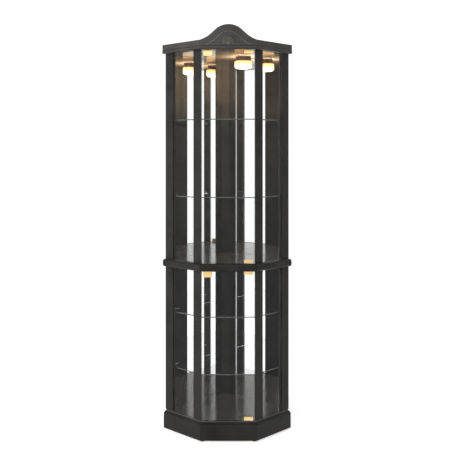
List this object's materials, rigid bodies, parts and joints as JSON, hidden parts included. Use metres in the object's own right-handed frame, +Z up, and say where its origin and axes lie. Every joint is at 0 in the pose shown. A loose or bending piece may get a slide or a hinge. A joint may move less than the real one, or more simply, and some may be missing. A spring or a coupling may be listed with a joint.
{
  "type": "corner curio cabinet",
  "caption": "Tall five-sided corner display cabinet with two frameless glass doors, side glass, mirrored back, glass shelves, a lit top, belt moulding and arched crown.",
  "frame": {"origin": "bottom centre of the bounding box, on the floor under the glides", "axes": "+Z up, +Y towards the square rear corner, -Y out of the doors, +X to the right when facing the doors"},
  "size_m": [0.6628, 0.5248, 2.033],
  "materials": {
    "frame_paint": "satin charcoal black lacquer",
    "board_paint": "semi-gloss charcoal black lacquer",
    "back_board": "dark stained hardboard",
    "raw_wood": "bare softwood",
    "clear_glass": "clear polished glass",
    "mirror": "silvered glass",
    "brass": "satin brass",
    "bush_brass": "turned brass",
    "steel": "bright zinc plate",
    "latch_plastic": "black moulded",
    "glide_nylon": "dark nylon",
    "rubber": "black rubber",
    "lamp_metal": "dark bronze",
    "frosted_glass": "frosted, lit from inside",
    "bulb": "frosted, lit"
  },
  "bodies": {
    "cabinet": {"glides": "glide_nylon", "corner_blocks": "raw_wood", "plinth_front": "frame_paint", "plinth_left": "frame_paint", "plinth_right": "frame_paint", "plinth_back_left": "frame_paint", "plinth_back_right": "frame_paint", "base_deck": "board_paint", "lower_front_stile_left": "frame_paint", "lower_front_stile_right": "frame_paint", "lower_rear_stile_left": "frame_paint", "lower_rear_stile_right": "frame_paint", "upper_front_stile_left": "frame_paint", "upper_front_stile_right": "frame_paint", "upper_rear_stile_left": "frame_paint", "upper_rear_stile_right": "frame_paint", "lower_top_board": "board_paint", "mid_deck": "board_paint", "belt_front": "frame_paint", "belt_left": "frame_paint", "belt_right": "frame_paint", "top_board": "board_paint", "crown_front": "frame_paint", "crown_left": "frame_paint", "crown_right": "frame_paint", "arch_bead": "frame_paint", "carving": "frame_paint", "lower_pane_left": "clear_glass", "lower_pane_right": "clear_glass", "upper_pane_left": "clear_glass", "upper_pane_right": "clear_glass", "back_panel_left": "back_board", "back_panel_right": "back_board", "lower_mirror_left": "mirror", "lower_mirror_right": "mirror", "upper_mirror_left": "mirror", "upper_mirror_right": "mirror", "rear_wing_left": "frame_paint", "rear_wing_right": "frame_paint", "wire_covers": "frame_paint", "shelf_1": "clear_glass", "shelf_2": "clear_glass", "shelf_3": "clear_glass", "shelf_4": "clear_glass", "shelf_pins": "steel", "hinge_bushes": "bush_brass", "latch_bodies": "latch_plastic", "lamp_can": "lamp_metal", "lamp_glass": "frosted_glass", "lamp_bulb": "bulb", "cord_grommet": "rubber", "wall_brackets": "steel"},
    "lower_door": {"lower_door_glass": "clear_glass", "lower_hinge_clips": "brass", "lower_strike_plate": "brass"},
    "upper_door": {"upper_door_glass": "clear_glass", "upper_hinge_clips": "brass", "upper_strike_plate": "brass"},
    "lower_latch_plunger": {"lower_plunger": "steel"},
    "upper_latch_plunger": {"upper_plunger": "steel"}
  },
  "joints": [
    {"name": "lower_door_hinge", "type": "hinge", "parent": "cabinet", "child": "lower_door", "pos_m": [0.112, -0.22643, 0.465], "axis": [0, 0, 1], "range_deg": [0, 105]},
    {"name": "upper_door_hinge", "type": "hinge", "parent": "cabinet", "child": "upper_door", "pos_m": [0.112, -0.22643, 1.39], "axis": [0, 0, 1], "range_deg": [0, 105]},
    {"name": "lower_latch_push", "type": "slide", "parent": "cabinet", "child": "lower_latch_plunger", "axis": [0, 1, 0], "range_m": [0, 0.003], "stiffness_N_per_m": 600},
    {"name": "upper_latch_push", "type": "slide", "parent": "cabinet", "child": "upper_latch_plunger", "axis": [0, 1, 0], "range_m": [0, 0.003], "stiffness_N_per_m": 600}
  ]
}
